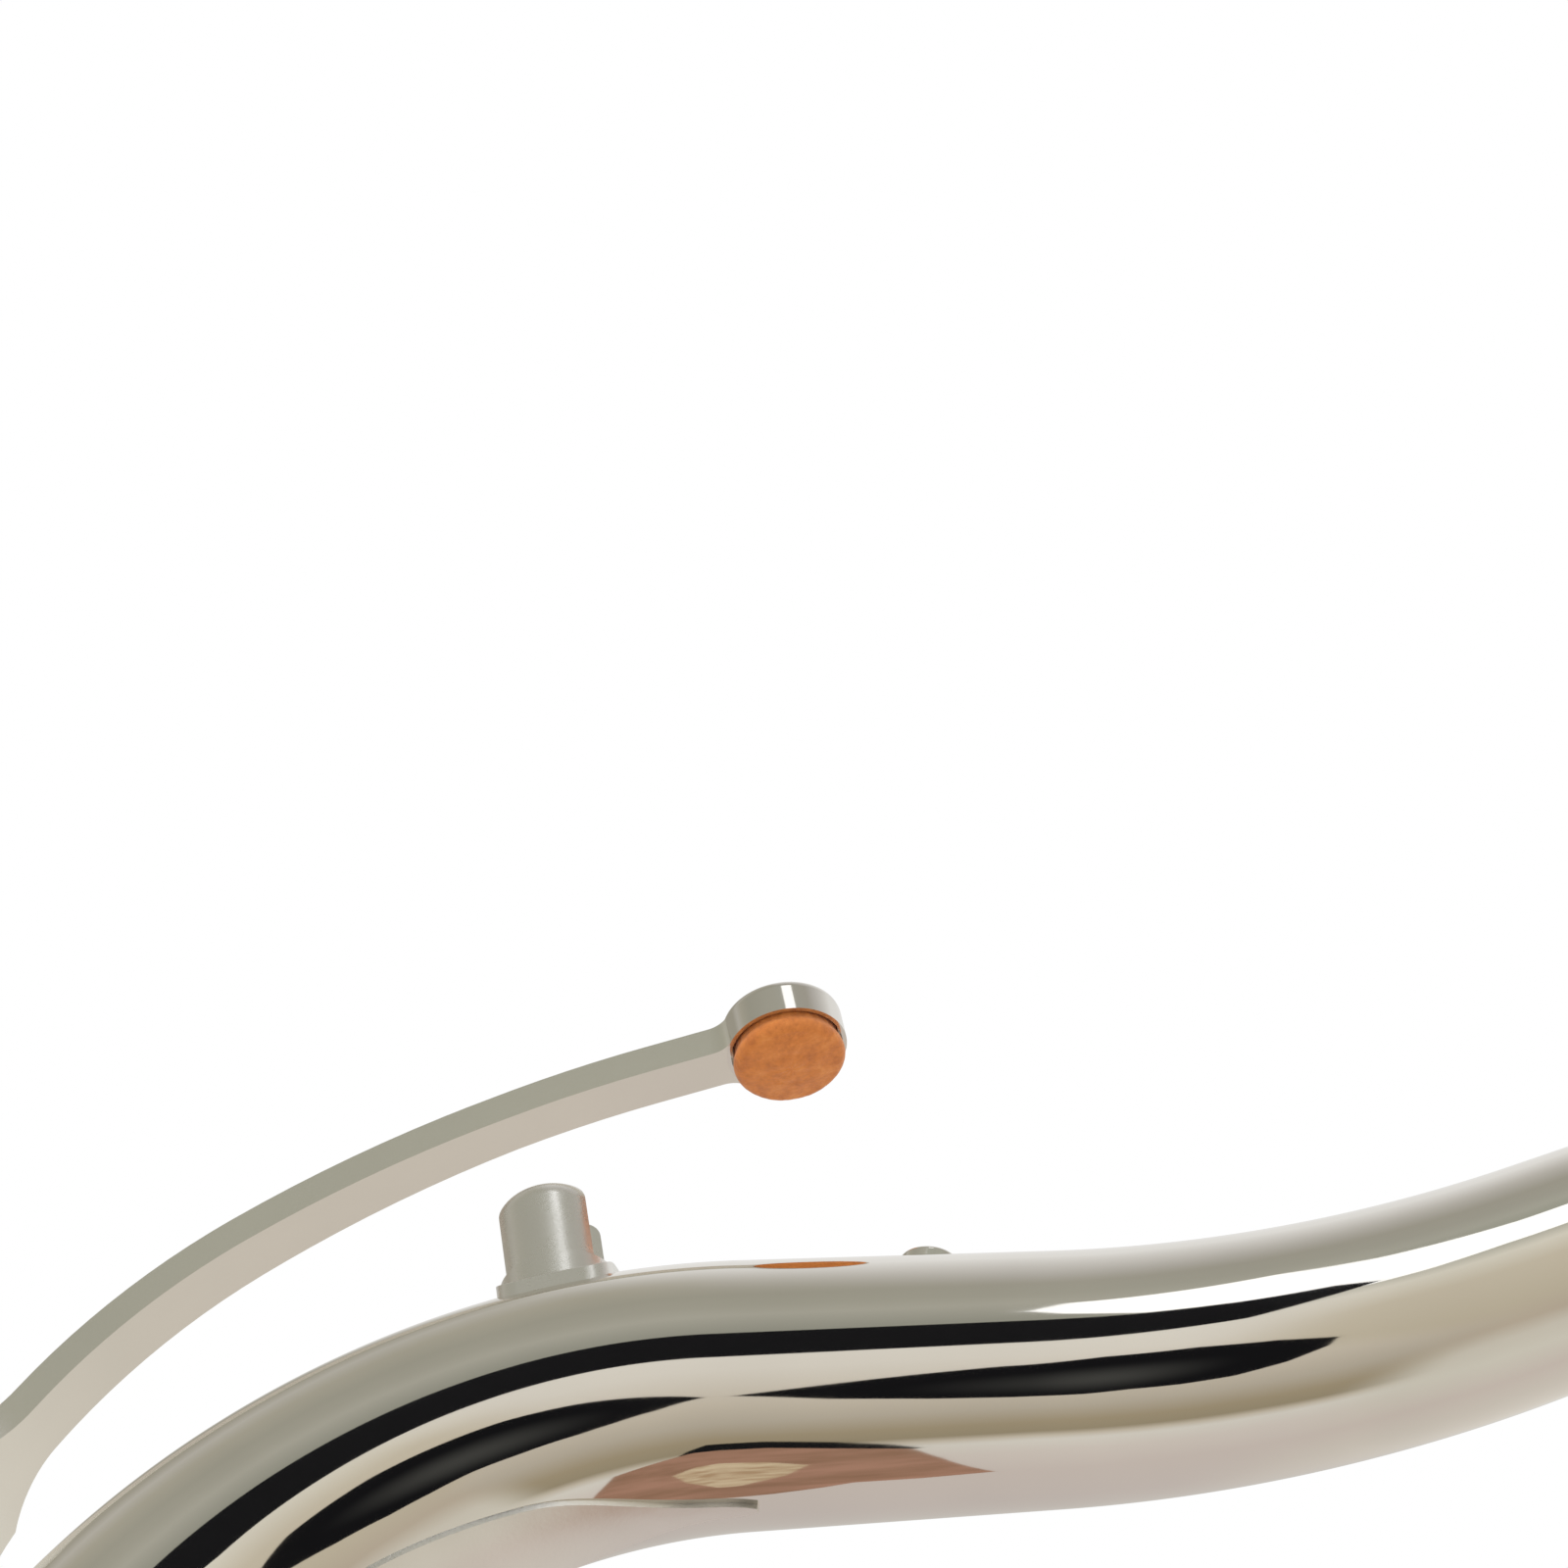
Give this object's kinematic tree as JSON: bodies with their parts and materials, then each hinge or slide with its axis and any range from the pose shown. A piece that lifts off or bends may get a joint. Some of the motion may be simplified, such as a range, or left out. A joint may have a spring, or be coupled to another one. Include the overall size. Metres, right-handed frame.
{
  "type": "saxophone neck",
  "caption": "Curved, tapered metal wind instrument neck with a plain tenon, a corked mouthpiece end and a sprung octave key over a small vent.",
  "frame": {"origin": "centre of the tenon's shoulder, where the neck seats on the instrument's body", "axes": "-Z along the tenon, away from the neck; +X towards the mouthpiece end; the tube bends in the XZ plane, its plane of symmetry, and +Y is the far side in the picture"},
  "size_m": [0.2193, 0.036, 0.1224],
  "materials": {
    "silver_plate": "bright silver plate over brass, lightly handled",
    "steel": "turned steel, fine finish",
    "spring_steel": "blued flat spring steel",
    "cork": "sanded natural cork",
    "card": "plain grey-brown card",
    "felt": "woven felt",
    "pad_leather_tan": "thin tan kid leather, finely wrinkled at the rim",
    "sleeve_plastic": "thin soft plastic tube"
  },
  "bodies": {
    "neck": {"neck_tube": "silver_plate", "tenon": "silver_plate", "tenon_ring": "silver_plate", "mouthpiece_ring": "silver_plate", "neck_cork": "cork", "underside_brace": "silver_plate", "octave_pip": "silver_plate", "guide_saddle": "silver_plate", "guide_fork": "silver_plate", "hinge_saddle": "silver_plate", "near_hinge_post": "silver_plate", "far_hinge_post": "silver_plate", "hinge_rod": "steel", "spring_rest": "silver_plate"},
    "octave_key": {"key_arm": "silver_plate", "hinge_tube": "silver_plate", "pad_cup": "silver_plate", "pad_card": "card", "pad_felt": "felt", "pad_leather": "pad_leather_tan", "ring_strap": "silver_plate", "key_ring": "silver_plate", "ring_sleeve": "sleeve_plastic", "ring_bumper": "cork", "spring_screw": "steel", "key_spring": "spring_steel"}
  },
  "joints": [
    {"name": "octave_key_hinge", "type": "hinge", "parent": "neck", "child": "octave_key", "pos_m": [-0.00499, 0, 0.05148], "axis": [0, 1, 0], "range_deg": [0, 15.5], "stiffness_Nm_per_rad": 0.05, "springref_deg": 28.65, "deforming": ["key_spring"]}
  ]
}
